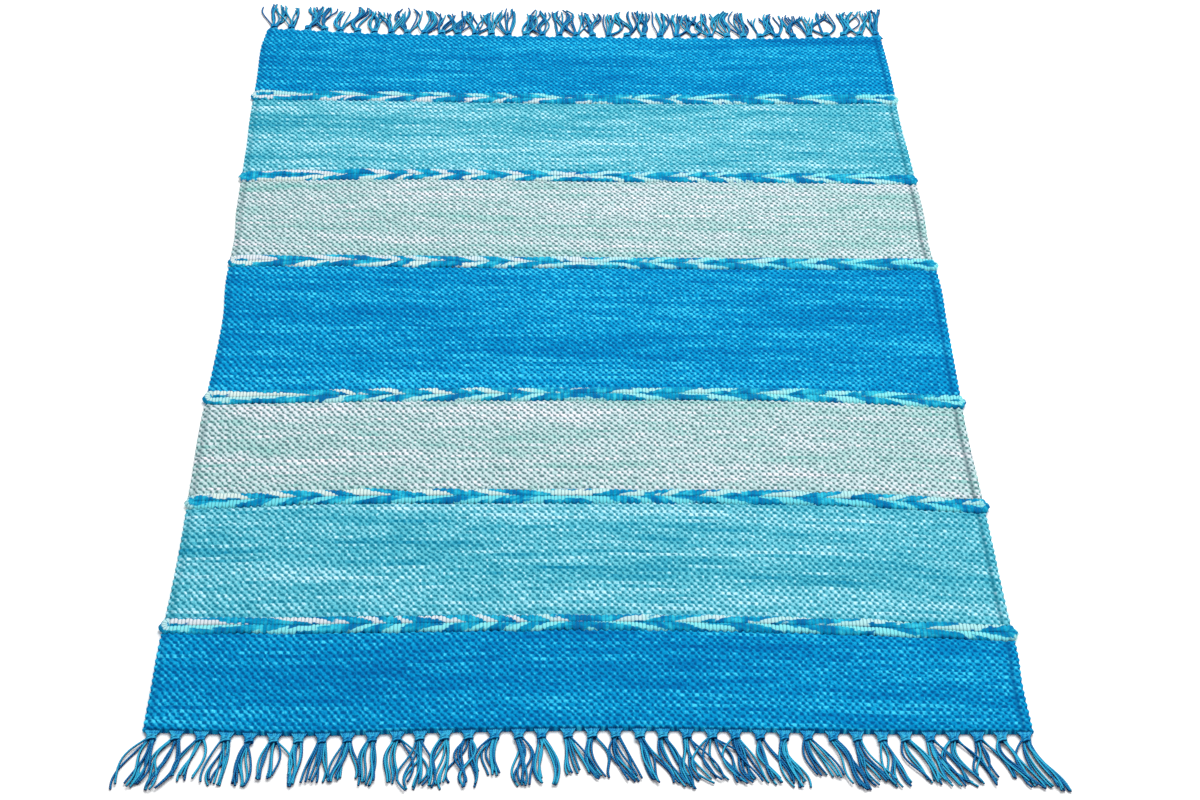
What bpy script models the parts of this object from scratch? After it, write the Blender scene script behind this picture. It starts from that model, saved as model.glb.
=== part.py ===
"""A small flat-woven cotton dhurrie rug with knotted fringes, lying flat.

One woven ground holds seven plain colour bands and six raised arrow bands. A row of knotted
tassels runs along each end. Metres, +Z up, with the underside on z = 0 and the front end at -Y.
The tables are in millimetres.
"""

import math
import random
from collections import namedtuple

import bmesh
import bpy
from mathutils import Vector

MM = 0.001
GAP = 0.3  # between the cloth's end and the strip that the tassels hang from

# The cloth
THICKNESS = 5.0
EDGE_THICKNESS = 4.0
EDGE_ROUNDING = 2.5
COLUMNS = 14
PLAIN_ROWS = 3  # rows of points inside each colour band

# The fringe
TASSELS = 37
LOCKS = 3
LOCK_WIDTH = 2.1
LOCK_GAP = 0.5
FAN = 3.4  # how far each lock is from the next one at the longest tips, beyond the roots' pitch
STRIP_DEPTH = 1.8
STRIP_HEIGHT = 2.6
KNOT_DEPTH = 3.0
KNOT_HEIGHT = 2.2
KNOT_ROUNDING = 0.5  # how much lower and narrower a knot is at its sides than in its middle
TASSEL_JITTER = 0.8
FIRST_TASSEL = -297.0
LAST_TASSEL = 299.0

# The two side edges, from the front end to the back
Side = namedtuple("Side", "y left right")
SIDES = (
    Side(-450, -303.0, 304.5),
    Side(-410, -302.5, 304.0),
    Side(-380, -302.5, 305.5),
    Side(-325, -300.5, 304.5),
    Side(-275, -299.5, 304.5),
    Side(-190, -300.0, 304.0),
    Side(-135, -300.3, 303.5),
    Side(-60, -297.8, 305.2),
    Side(0, -297.0, 306.5),
    Side(45, -299.8, 308.0),
    Side(110, -299.0, 305.5),
    Side(150, -301.5, 307.0),
    Side(250, -302.5, 305.0),
    Side(300, -304.0, 303.5),
    Side(365, -304.0, 304.2),
    Side(420, -305.3, 303.2),
    Side(450, -302.5, 302.0),
)

# The rows that a weaver would call straight, with y where each crosses the places below. The
# arrow bands' thick wefts turn round the edges and stand out there by nub_left and nub_right.
BOW_PLACES = (-300, -200, -100, 0, 100, 200, 300)
Row = namedtuple("Row", "name nub_left nub_right y")
FRONT_END = Row("front end", 0.0, 0.0, (-451, -454, -451, -449, -450, -452, -452))
ARROWS = (
    Row("arrow 1", 3.0, 4.0, (-354, -353, -351, -349.5, -350.5, -354, -359)),
    Row("arrow 2", 2.5, 4.5, (-227, -221, -219.5, -219, -219, -221, -228)),
    Row("arrow 3", 2.5, 4.5, (-106, -103, -100.5, -99, -98.5, -100, -106)),
    Row("arrow 4", 2.0, 3.0, (74, 75.5, 75, 75, 75, 75.5, 76)),
    Row("arrow 5", 3.5, 3.0, (200, 204, 205, 204, 204, 204, 203)),
    Row("arrow 6", 3.0, 2.5, (333, 333, 332, 331, 332, 334, 336)),
)
BACK_END = Row("back end", 0.0, 0.0, (453, 445.5, 444, 443, 442.5, 444, 450))
NUB_LENGTH = 6.5

# Half of the section through an arrow band, from the groove between its two wefts outwards
RibPoint = namedtuple("RibPoint", "offset height")
RIB = (
    RibPoint(0.0, 5.9),
    RibPoint(1.5, 6.7),
    RibPoint(3.9, 7.3),
    RibPoint(6.3, 6.7),
    RibPoint(8.0, THICKNESS),
)

# How far the tassels' tips lean along x, by their place along the end
Lean = namedtuple("Lean", "x front back")
LEANS = (
    Lean(-300, -13.0, 3.0),
    Lean(-240, -5.0, 2.0),
    Lean(-160, -5.0, -2.0),
    Lean(-80, 0.0, 2.0),
    Lean(0, 13.0, -2.0),
    Lean(80, 16.0, 2.0),
    Lean(160, 16.0, -1.0),
    Lean(240, 18.0, 2.0),
    Lean(300, 18.0, 4.0),
)

# The sections of a lock, by their share of its length, from the knot to the tip
LockSection = namedtuple("LockSection", "share width height")
LOCK_SECTIONS = (
    LockSection(0.24, 2.5, 2.4),
    LockSection(0.62, 2.6, 2.1),
    LockSection(1.00, 1.7, 1.6),
)

# One end of the rug: the side it points to, its row, its lock lengths and its random seed
End = namedtuple("End", "name side row shortest longest seed")
ENDS = (
    End("fringe_front", -1, FRONT_END, 45.0, 52.0, 11),
    End("fringe_back", 1, BACK_END, 43.0, 54.0, 23),
)

Finish = namedtuple("Finish", "name colour roughness")
DEEP_BLUE = Finish("deep_blue", (0.01, 0.22, 0.60), 0.9)
TURQUOISE = Finish("turquoise", (0.16, 0.58, 0.70), 0.9)
PALE = Finish("pale_mint", (0.55, 0.72, 0.72), 0.9)
ARROW = Finish("arrow_yarn", (0.30, 0.62, 0.75), 0.85)
FRINGE = Finish("fringe_yarn", (0.02, 0.30, 0.60), 0.85)
BANDS = (DEEP_BLUE, TURQUOISE, PALE, DEEP_BLUE, PALE, TURQUOISE, DEEP_BLUE)


def clear_scene():
    for item in list(bpy.data.objects):
        bpy.data.objects.remove(item, do_unlink=True)


def material_of(finish):
    material = bpy.data.materials.new(finish.name)
    material.use_nodes = True
    shader = material.node_tree.nodes["Principled BSDF"]
    shader.inputs["Base Color"].default_value = (*finish.colour, 1.0)
    shader.inputs["Roughness"].default_value = finish.roughness
    shader.inputs["Metallic"].default_value = 0.0
    return material


def smooth(places, values, at):
    """The value at a place, on a smooth curve through the values."""
    last = len(places) - 1
    at = min(max(at, places[0]), places[-1])
    k = max(i for i in range(last) if places[i] <= at)
    share = (at - places[k]) / (places[k + 1] - places[k])
    before, here = values[max(k - 1, 0)], values[k]
    there, after = values[k + 1], values[min(k + 2, last)]
    return 0.5 * (
        2 * here
        + (there - before) * share
        + (2 * before - 5 * here + 4 * there - after) * share**2
        + (3 * here - before - 3 * there + after) * share**3
    )


def row_y(row, x):
    return smooth(BOW_PLACES, row.y, x)


def side_edges(y):
    """The cloth's left and right edge at this y, with the nubs of the arrow bands."""
    places = [side.y for side in SIDES]
    left = smooth(places, [side.left for side in SIDES], y)
    right = smooth(places, [side.right for side in SIDES], y)
    for arrow in ARROWS:
        left -= arrow.nub_left * math.exp(-(((y - row_y(arrow, left)) / NUB_LENGTH) ** 2))
        right += arrow.nub_right * math.exp(-(((y - row_y(arrow, right)) / NUB_LENGTH) ** 2))
    return left, right


def column_shares():
    """Where the columns of points stand across the cloth, as shares of its width."""
    rounding = EDGE_ROUNDING / (SIDES[0].right - SIDES[0].left)
    inner = [k / COLUMNS for k in range(1, COLUMNS)]
    return [0.0, rounding, *inner, 1.0 - rounding, 1.0]


def point_on(row, after, share, offset, across):
    """A point of the cloth: a share of the way from one row to the next, and across the width."""
    x = SIDES[0].left + across * (SIDES[0].right - SIDES[0].left)
    y = row_y(row, x) * (1 - share) + row_y(after, x) * share + offset
    left, right = side_edges(y)
    return Vector((left + across * (right - left), y, 0.0))


def rows_of_points():
    """(row, next row, share, offset, height) of each row of points, from the front to the back."""
    rows = (FRONT_END, *ARROWS, BACK_END)
    found = [
        (FRONT_END, FRONT_END, 0.0, 0.0, EDGE_THICKNESS),
        (FRONT_END, FRONT_END, 0.0, EDGE_ROUNDING, THICKNESS),
    ]
    for row, after in zip(rows, rows[1:]):
        for k in range(1, PLAIN_ROWS + 1):
            found.append((row, after, k / (PLAIN_ROWS + 1), 0.0, THICKNESS))
        if after is BACK_END:
            break
        found += [(after, after, 0.0, -p.offset, p.height) for p in reversed(RIB)]
        found += [(after, after, 0.0, p.offset, p.height) for p in RIB[1:]]
    found.append((BACK_END, BACK_END, 0.0, -EDGE_ROUNDING, THICKNESS))
    found.append((BACK_END, BACK_END, 0.0, 0.0, EDGE_THICKNESS))
    return found


def finish_at(centre):
    """The slot that a face of the cloth wears: a colour band's, or the arrow bands'."""
    for arrow in ARROWS:
        if abs(centre.y / MM - row_y(arrow, centre.x / MM)) < RIB[-1].offset:
            return len(BANDS)
    return sum(centre.y / MM > row_y(arrow, centre.x / MM) for arrow in ARROWS)


def grid_place(vertex, columns, rows):
    """The column and row of a vertex of a grid that reaches from -1 to 1."""
    column = round((vertex.co.x + 1) / 2 * (columns - 1))
    row = round((vertex.co.y + 1) / 2 * (rows - 1))
    return column, row


def raised_grid(columns, rows):
    """A closed slab of grid cells: its bmesh, its floor faces, and its vertices by column and row."""
    bm = bmesh.new()
    bmesh.ops.create_grid(bm, x_segments=columns - 1, y_segments=rows - 1, size=1.0)
    floor_faces = list(bm.faces)
    floor = {grid_place(v, columns, rows): v for v in bm.verts}
    raised = bmesh.ops.extrude_face_region(bm, geom=floor_faces, use_keep_orig=True)
    above = [item for item in raised["geom"] if isinstance(item, bmesh.types.BMVert)]
    top = {grid_place(v, columns, rows): v for v in above}
    return bm, floor_faces, floor, top


def new_part(name, bm, finishes, collection):
    mesh = bpy.data.meshes.new(name)
    bm.to_mesh(mesh)
    bm.free()
    part = bpy.data.objects.new(name, mesh)
    for finish in finishes:
        mesh.materials.append(material_of(finish))
    collection.objects.link(part)
    return part


def make_ground(collection):
    """The woven cloth: a thin slab with uneven edges and two low ridges along each arrow band."""
    shares = column_shares()
    rows = rows_of_points()
    bm, floor_faces, floor, top = raised_grid(len(shares), len(rows))
    for (column, index), vertex in top.items():
        row, after, share, offset, height = rows[index]
        place = point_on(row, after, share, offset, shares[column]) * MM
        floor[column, index].co = place
        if column in (0, len(shares) - 1):
            height -= THICKNESS - EDGE_THICKNESS
        vertex.co = place + Vector((0.0, 0.0, height * MM))
    bmesh.ops.dissolve_faces(bm, faces=floor_faces)
    bmesh.ops.recalc_face_normals(bm, faces=bm.faces)
    for face in bm.faces:
        face.material_index = finish_at(face.calc_center_median())
    return new_part("ground", bm, (*BANDS, ARROW), collection)


def end_line(end):
    """The cloth's end as the points of its outermost row, left to right."""
    return [point_on(end.row, end.row, 0.0, 0.0, share) for share in column_shares()]


def end_y(line, x):
    """y on the cloth's end, which runs straight from point to point."""
    x = min(max(x, line[0].x), line[-1].x)
    for here, there in zip(line, line[1:]):
        if x <= there.x:
            return here.y + (there.y - here.y) * (x - here.x) / (there.x - here.x)
    return line[-1].y


def tassel_places(chance):
    pitch = (LAST_TASSEL - FIRST_TASSEL) / (TASSELS - 1)
    inner = [
        FIRST_TASSEL + k * pitch + chance.uniform(-TASSEL_JITTER, TASSEL_JITTER)
        for k in range(1, TASSELS - 1)
    ]
    return [FIRST_TASSEL, *inner, LAST_TASSEL]


def lock_cells(middle):
    """The left and right side of each lock's root in a tassel."""
    pitch = LOCK_WIDTH + LOCK_GAP
    starts = [middle + pitch * (k - LOCKS / 2) + LOCK_GAP / 2 for k in range(LOCKS)]
    return [(start, start + LOCK_WIDTH) for start in starts]


def strip_places(middles):
    """(x, share) along the strip: the share is 1 in the middle of a knot and 0 between two."""
    places = []
    for middle, after in zip(middles, [*middles[1:], None]):
        sides = [side for cell in lock_cells(middle) for side in cell]
        reach = sides[-1] - middle
        places += [(x, 1.0 - KNOT_ROUNDING * ((x - middle) / reach) ** 2) for x in sides]
        if after is not None:
            places.append(((middle + after) / 2, 0.0))
    return places


def grow_lock(bm, face, end, lean, fan, length):
    """Draws one lock out of the strip: it sinks to the floor, leans and thins towards its tip."""
    root = face.calc_center_median() / MM
    for section in LOCK_SECTIONS:
        face = bmesh.ops.extrude_discrete_faces(bm, faces=[face])["faces"][0]
        reach = length * section.share
        along = reach / end.longest
        x = root.x + lean * along**1.4 + fan * along
        middle = face.calc_center_median()
        for vertex in face.verts:
            side = 0.5 if vertex.co.x > middle.x else -0.5
            height = section.height if vertex.co.z > middle.z else 0.0
            place = Vector((x + side * section.width, root.y + end.side * reach, height))
            vertex.co = place * MM


def make_fringe(end, collection):
    """A strip of knots along one end of the cloth, with locks of yarn that lie on the floor."""
    chance = random.Random(end.seed)
    middles = tassel_places(chance)
    places = strip_places(middles)
    line = end_line(end)
    bm, floor_faces, floor, top = raised_grid(len(places), 2)
    outer_index = 0 if end.side < 0 else 1
    for (column, index), vertex in top.items():
        x, knot = places[column]
        reach = GAP + (STRIP_DEPTH + KNOT_DEPTH * knot if index == outer_index else 0.0)
        foot = Vector((x, end_y(line, x) + end.side * reach, 0.0)) * MM
        floor[column, index].co = foot
        vertex.co = foot + Vector((0.0, 0.0, (STRIP_HEIGHT + KNOT_HEIGHT * knot) * MM))
    bmesh.ops.dissolve_faces(bm, faces=floor_faces)
    bmesh.ops.recalc_face_normals(bm, faces=bm.faces)
    walls = [face for face in bm.faces if face.normal.y * end.side > 0.5]
    lean_places = [lean.x for lean in LEANS]
    leans = [lean.front if end.side < 0 else lean.back for lean in LEANS]
    for middle in middles:
        lean = smooth(lean_places, leans, middle)
        for index, (left, right) in enumerate(lock_cells(middle)):
            roots = [w for w in walls if left < w.calc_center_median().x / MM < right]
            fan = FAN * (index - (LOCKS - 1) / 2)
            length = chance.uniform(end.shortest, end.longest)
            grow_lock(bm, roots[0], end, lean, fan, length)
            walls.remove(roots[0])
    return new_part(end.name, bm, (FRINGE,), collection)


def centre_on_origin(parts):
    """Moves the meshes so that the rug's box is centred on x = 0 and y = 0."""
    places = [vertex.co for part in parts for vertex in part.data.vertices]
    shift = Vector((
        -(min(p.x for p in places) + max(p.x for p in places)) / 2,
        -(min(p.y for p in places) + max(p.y for p in places)) / 2,
        0.0,
    ))
    for part in parts:
        for vertex in part.data.vertices:
            vertex.co += shift
    print(f"moved by {shift.x / MM:.3f} mm, {shift.y / MM:.3f} mm")


def main():
    clear_scene()
    collection = bpy.data.collections.new("dhurrie_rug")
    bpy.context.scene.collection.children.link(collection)
    parts = [make_ground(collection)]
    parts += [make_fringe(end, collection) for end in ENDS]
    centre_on_origin(parts)
    for part in parts:
        triangles = sum(len(face.vertices) - 2 for face in part.data.polygons)
        print(f"{part.name}: {triangles} triangles")


main()
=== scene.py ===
# %% [markdown]
# A small flat-woven dhurrie, made thread by thread
#
# Seven plain bands in three colours are parted by six thick twisted bands, whose
# two-coloured yarn draws a row of arrows. The warp threads leave the cloth at both ends and are
# knotted into tassels. The solid model already has the right size, so this lesson only dresses it:
# it makes the woven relief, the twisted yarns and every thread of the fringe.

# %% Load the solid model
import math
import random
from collections import namedtuple

import bmesh
import bpy
import numpy as np
from mathutils import Matrix, Vector


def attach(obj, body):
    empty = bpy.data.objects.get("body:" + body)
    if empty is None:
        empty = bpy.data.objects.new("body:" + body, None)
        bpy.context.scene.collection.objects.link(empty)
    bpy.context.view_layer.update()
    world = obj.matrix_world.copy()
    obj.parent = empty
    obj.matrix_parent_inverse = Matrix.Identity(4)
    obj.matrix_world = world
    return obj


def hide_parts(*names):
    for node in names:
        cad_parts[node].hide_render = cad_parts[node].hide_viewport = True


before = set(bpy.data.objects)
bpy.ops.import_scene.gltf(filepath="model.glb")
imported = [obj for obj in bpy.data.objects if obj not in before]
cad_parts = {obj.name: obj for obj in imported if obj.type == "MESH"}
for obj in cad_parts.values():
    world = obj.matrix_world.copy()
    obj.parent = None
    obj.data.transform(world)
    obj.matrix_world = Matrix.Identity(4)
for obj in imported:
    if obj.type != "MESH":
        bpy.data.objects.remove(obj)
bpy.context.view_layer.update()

# %% [markdown]
# The camera comes first, because every later choice is judged through it. The lens, the place and
# the three angles were worked out by setting the rug's corners on their places in the photograph.
# Lengths in this file are millimetres, and MM turns them into Blender's metres. The solid model is
# centred on the origin, and ORIGIN is where that centre lies in the tables below.

# %% The camera
MM = 0.001
ORIGIN = Vector((2.995, -1.362, 0.0))
CAMERA_PLACE = Vector((-40.1, -1470.3, 1174.5))
CAMERA_LENS = 67.47
CAMERA_DOWN = math.radians(40.598)
CAMERA_TURN = math.radians(-2.263)
CAMERA_ROLL = math.radians(1.773)


def camera_matrix():
    """The camera looks along -Z of this matrix, with the picture's right on +X."""
    ahead = Vector((
        -math.sin(CAMERA_TURN) * math.cos(CAMERA_DOWN),
        math.cos(CAMERA_TURN) * math.cos(CAMERA_DOWN),
        -math.sin(CAMERA_DOWN),
    ))
    level = Vector((math.cos(CAMERA_TURN), math.sin(CAMERA_TURN), 0.0))
    above = level.cross(ahead)
    right = level * math.cos(CAMERA_ROLL) + above * math.sin(CAMERA_ROLL)
    up = above * math.cos(CAMERA_ROLL) - level * math.sin(CAMERA_ROLL)
    turned = Matrix((right, up, -ahead)).transposed().to_4x4()
    return Matrix.Translation((CAMERA_PLACE - ORIGIN) * MM) @ turned


camera = bpy.data.objects.new("camera", bpy.data.cameras.new("camera"))
camera.data.lens = CAMERA_LENS
camera.matrix_world = camera_matrix()
bpy.context.scene.collection.objects.link(camera)
bpy.context.scene.camera = camera
print("the camera stands at", [round(value, 3) for value in camera.matrix_world.translation])

# %% [markdown]
# Cotton has no gloss to speak of, so the light only has to be soft and bright. One wide lamp, almost
# overhead and a little behind the rug, gives each thread a lit and a shaded side, and the white
# surroundings fill the shade. A sun lamp would draw a hard shadow under every thread. The Standard
# view keeps the dyed colours as they are, where the default view would grey them.

# %% Lights, surroundings and floor
LAMP_PLACE = Vector((0.35, 0.35, 2.1))
LAMP_WIDTH = 1.6
LAMP_POWER = 53.0
SURROUNDINGS = 0.62
WHITE = (1.0, 1.0, 1.0, 1.0)
FLOOR_WIDTH = 8.0
FLOOR_LEVEL = -0.0004  # just clear of the rug's underside
FLOOR_COLOUR = (0.95, 0.95, 0.95, 1.0)
FLOOR_ROUGHNESS = 0.9

bpy.context.scene.view_settings.view_transform = "Standard"
world = bpy.data.worlds.new("white surroundings")
world.use_nodes = True
world.node_tree.nodes["Background"].inputs["Color"].default_value = WHITE
world.node_tree.nodes["Background"].inputs["Strength"].default_value = SURROUNDINGS
bpy.context.scene.world = world

lamp = bpy.data.objects.new("wide lamp", bpy.data.lights.new("wide lamp", "AREA"))
lamp.data.energy = LAMP_POWER
lamp.data.size = LAMP_WIDTH
lamp.location = LAMP_PLACE
lamp.rotation_euler = (-LAMP_PLACE).to_track_quat("-Z", "Y").to_euler()
bpy.context.scene.collection.objects.link(lamp)

floor_shape = bmesh.new()
bmesh.ops.create_grid(floor_shape, x_segments=1, y_segments=1, size=FLOOR_WIDTH / 2)
bmesh.ops.translate(floor_shape, verts=floor_shape.verts, vec=(0.0, 0.0, FLOOR_LEVEL))
floor_mesh = bpy.data.meshes.new("floor")
floor_shape.to_mesh(floor_mesh)
floor_shape.free()
floor_material = bpy.data.materials.new("pale floor")
floor_material.use_nodes = True
floor_shader = floor_material.node_tree.nodes["Principled BSDF"]
floor_shader.inputs["Base Color"].default_value = FLOOR_COLOUR
floor_shader.inputs["Roughness"].default_value = FLOOR_ROUGHNESS
floor_mesh.materials.append(floor_material)
floor = bpy.data.objects.new("floor", floor_mesh)
bpy.context.scene.collection.objects.link(floor)
print("the floor is", FLOOR_WIDTH, "m wide")

# %% [markdown]
# A handwoven edge is never straight. These tables say where the two side edges run, and where the
# rows that a weaver would call straight really lie. The solid model was built from the same tables,
# but for the first arrow line, which here lies 1.5 mm nearer the front, as the real one does. A
# smooth curve through a few measured places is enough for edges as slack as these.

# %% The outline of the cloth
SIDE_Y = np.array([
    -450, -410, -380, -325, -275, -190, -135, -60, 0, 45, 110, 150, 250, 300, 365, 420, 450.0
])
LEFT_SIDE = np.array([
    -303, -302.5, -302.5, -300.5, -299.5, -300, -300.3, -297.8, -297,
    -299.8, -299, -301.5, -302.5, -304, -304, -305.3, -302.5
])
RIGHT_SIDE = np.array([
    304.5, 304, 305.5, 304.5, 304.5, 304, 303.5, 305.2, 306.5,
    308, 305.5, 307, 305, 303.5, 304.2, 303.2, 302
])
BOW_X = np.array([-300, -200, -100, 0, 100, 200, 300.0])
FRONT_END = np.array([-451, -454, -451, -449, -450, -452, -452.0])
BACK_END = np.array([453, 445.5, 444, 443, 442.5, 444, 450.0])
ARROW_LINES = np.array([
    [-355.5, -354.5, -352.5, -351, -352, -355.5, -360.5],
    [-227, -221, -219.5, -219, -219, -221, -228],
    [-106, -103, -100.5, -99, -98.5, -100, -106],
    [74, 75.5, 75, 75, 75, 75.5, 76],
    [200, 204, 205, 204, 204, 204, 203],
    [333, 333, 332, 331, 332, 334, 336.0],
])


def smooth(at, places, values):
    """The values at some places, on a smooth curve through a table's points."""
    at = np.clip(at, places[0], places[-1])
    k = np.clip(np.searchsorted(places, at, side="right") - 1, 0, len(places) - 2)
    share = (at - places[k]) / (places[k + 1] - places[k])
    before, here = values[np.maximum(k - 1, 0)], values[k]
    there, after = values[k + 1], values[np.minimum(k + 2, len(places) - 1)]
    return 0.5 * (
        2 * here
        + (there - before) * share
        + (2 * before - 5 * here + 4 * there - after) * share**2
        + (3 * here - before - 3 * there + after) * share**3
    )


def side_edges(y):
    return smooth(y, SIDE_Y, LEFT_SIDE), smooth(y, SIDE_Y, RIGHT_SIDE)


print("the cloth is about", float(np.mean(RIGHT_SIDE - LEFT_SIDE)), "mm wide")

# %% [markdown]
# Bands, ropes and threads are all long things with a section, so one helper makes them all. It takes
# a flat grid from bmesh, rolls it round by moving its points, welds the seam and closes the ends.
# Rolling a grid keeps neat rows of four-sided faces, and each corner knows its place along and
# around the yarn, which the materials need as a UV map. The caps at the ends are cut into short
# triangles, because one wide face would stick out past a bowed end, and they are shaded flat.

# %% A helper that rolls a grid into a tube
WELD = 0.000001


def roll_grid(name, points, maps, run=None):
    """A closed mesh from a table of points (along, around, xyz) in mm. run cuts it into tubes."""
    along, around = points.shape[:2]
    shape = bmesh.new()
    bmesh.ops.create_grid(shape, x_segments=around - 1, y_segments=along - 1, size=1.0)
    mesh = bpy.data.meshes.new(name)
    shape.to_mesh(mesh)
    flat = np.empty(len(mesh.vertices) * 3, np.float32)
    mesh.vertices.foreach_get("co", flat)
    column = np.rint((flat[0::3] + 1) / 2 * (around - 1)).astype(int)
    row = np.rint((flat[1::3] + 1) / 2 * (along - 1)).astype(int)
    corner = np.empty(len(mesh.loops), np.int32)
    mesh.loops.foreach_get("vertex_index", corner)
    for map_name, places in maps.items():
        layer = mesh.uv_layers.new(name=map_name)
        layer.data.foreach_set("uv", places[row, column][corner].astype(np.float32).ravel())
    placed = (points[row, column] - np.array(ORIGIN)) * MM
    mesh.vertices.foreach_set("co", placed.astype(np.float32).ravel())
    shape.clear()
    shape.from_mesh(mesh)
    if run:
        joining = [
            face for face in shape.faces
            if min(row[vertex.index] for vertex in face.verts) % run == run - 1
        ]
        bmesh.ops.delete(shape, geom=joining, context="FACES")
    bmesh.ops.remove_doubles(shape, verts=shape.verts, dist=WELD)
    ends = [edge for edge in shape.edges if edge.is_boundary]
    caps = bmesh.ops.holes_fill(shape, edges=ends, sides=0)["faces"]
    bmesh.ops.triangulate(shape, faces=caps, ngon_method="BEAUTY")
    bmesh.ops.recalc_face_normals(shape, faces=shape.faces)
    for face in shape.faces:
        face.smooth = len(face.verts) == 4
    shape.to_mesh(mesh)
    shape.free()
    piece = bpy.data.objects.new(name, mesh)
    bpy.context.scene.collection.objects.link(piece)
    print(f"{name}: {len(mesh.polygons)} faces")
    return piece


def bake_map(along, around):
    """A map that lays the whole piece out once in a square."""
    u, v = np.meshgrid(np.linspace(0, 1, around), np.linspace(0, 1, along))
    return np.dstack([u, v])


# %% [markdown]
# A plain band is a plain weave: each weft row goes over one warp thread and under the next, and the
# next row does the opposite. From above this is a chequer of round beads with dark pits between.
# Two crossing slanted waves add up to such a chequer, and they move the grid's points up and down.
# One wave is the stronger, because each bead leans a little to the left. Two points to a thread are
# enough for smooth shading. Modelling each thread on its own would take ten times the faces.

# %% The sizes of the plain weave
WARPS = 226
ROW_PITCH = 3.25
SAMPLES = 2  # points to a thread, both ways
CLOTH_TOP = 4.75
RELIEF = 0.75
LEAN_LEFT, LEAN_RIGHT = 0.68, 0.55  # above a half, the beads lean over to the left
BEAD_FULLNESS = 0.1
BEAD_JITTER = 0.07
EDGE_TOP = 3.7
EDGE_ROUNDING = 1.3
SIDE_LEVELS = (3.2, 1.3)  # heights of the points down each side edge
SIDE_BULGE = 0.5
SCALLOP = 0.5  # how far the weft stands out where it turns back at the edge
GROOVE_PLACE = 6.0  # from the right edge
GROOVE_WIDTH = 1.7
GROOVE_DEPTH = 0.8
END_DROP = 0.8
END_ROUNDING = 0.55  # rows
UNDER_COLUMNS = 24
ROPE_REACH = 7.1  # how far an arrow band's middle is from the plain cloth on each side
BANDS = (
    ("band_1_deep_blue", "deep_blue"),
    ("band_2_turquoise", "turquoise"),
    ("band_3_pale_mint", "pale_mint"),
    ("band_4_deep_blue", "deep_blue"),
    ("band_5_pale_mint", "pale_mint"),
    ("band_6_turquoise", "turquoise"),
    ("band_7_deep_blue", "deep_blue"),
)


def band_section():
    """Round a band: the share across, the outward bulge, the level, and what is on top."""
    top = np.linspace(0, 1, WARPS * SAMPLES + 1)
    under = np.linspace(1, 0, UNDER_COLUMNS + 1)
    side = np.ones(len(SIDE_LEVELS))
    share = np.concatenate([top, side, under, 0 * side, [0.0]])
    bulge = np.concatenate([0 * top, side, 0 * under, side, [0.0]]) * SIDE_BULGE
    bulge *= np.where(share > 0.5, 1, -1)
    level = np.concatenate([0 * top, SIDE_LEVELS, 0 * under, SIDE_LEVELS[::-1], [0.0]])
    on_top = np.concatenate([0 * top + 1, 0 * side, 0 * under, 0 * side, [1.0]]) > 0.5
    return share, bulge, level, on_top


def weave_relief(u, v):
    """A bead where the weft goes over a warp thread, and a pit where it goes under."""
    falling, rising = np.cos(math.pi * (u + v)), np.cos(math.pi * (u - v))
    lean = LEAN_LEFT + (LEAN_RIGHT - LEAN_LEFT) * u / WARPS
    chequer = lean * falling + (1 - lean) * rising
    bead = BEAD_FULLNESS + (1 - BEAD_FULLNESS) * chequer
    pit = BEAD_FULLNESS + (1 + BEAD_FULLNESS) * chequer
    return np.where(chequer > 0, bead, pit)


print("points round a band:", len(band_section()[0]))

# %% [markdown]
# Handwork has slack: rows wander a little, warp threads crowd and part, and the cloth swells. Each
# kind of slack is a sum of slow random waves with their own length across and along. They come from
# one seeded source of chance, so the rug is the same every time. At the ends of a band the rows are
# held straight by the thick yarn beside them.

# %% Weave the plain bands
ROW_SLACK = ((0.45, 60, 9), (0.225, 7, 5))  # each wave's strength, and its length in warps and rows
WARP_SLACK = ((0.5, 40, 60), (0.3, 9, 5))
SWELL = ((0.12, 90, 30),)
FREE_ROWS = 2  # rows from a band's end where the slack is full
BAND_APART = 100.0  # between the bands' row numbers, so that no two share a streak
WEAVER_SEED = 5


def wander(chance, u, v, slowest_u, slowest_v, waves=6):
    """A slow random wave over the cloth, about from -1 to 1."""
    total = np.zeros(np.broadcast(u, v).shape)
    for _ in range(waves):
        turn_u = chance.uniform(0.3, 1.0) * 2 * math.pi / slowest_u * chance.choice((-1, 1))
        turn_v = chance.uniform(0.3, 1.0) * 2 * math.pi / slowest_v
        total += np.sin(turn_u * u + turn_v * v + chance.uniform(0, 2 * math.pi))
    return total / math.sqrt(waves)


def slack_of(chance, u, v, waves):
    return sum(strength * wander(chance, u, v, warps, rows) for strength, warps, rows in waves)


def bell(distance, width):
    """1 at no distance, and next to nothing at twice the width."""
    return np.exp(-((distance / width) ** 2))


def band_lines(index):
    """The rows where a band starts and stops, as tables over BOW_X, and its mean length."""
    lines = [FRONT_END, *ARROW_LINES, BACK_END]
    first = lines[index] + (ROPE_REACH if index > 0 else 0.0)
    last = lines[index + 1] - (ROPE_REACH if index < len(BANDS) - 1 else 0.0)
    return first, last, float(np.mean(last - first))


def band_heights(chance, u, v, ends, from_left, from_right):
    """The beads and pits on top of a band, lower at its edges, its ends and in its groove."""
    z = CLOTH_TOP + RELIEF * weave_relief(u, v)
    z = z + BEAD_JITTER * chance.standard_normal(from_left.shape)
    z = z + slack_of(chance, u, v, SWELL)
    z = z - GROOVE_DEPTH * bell(from_right - GROOVE_PLACE, GROOVE_WIDTH)
    z = z - (CLOTH_TOP - EDGE_TOP) * bell(np.minimum(from_left, from_right), EDGE_ROUNDING)
    return z - END_DROP * bell(ends, END_ROUNDING)


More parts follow.
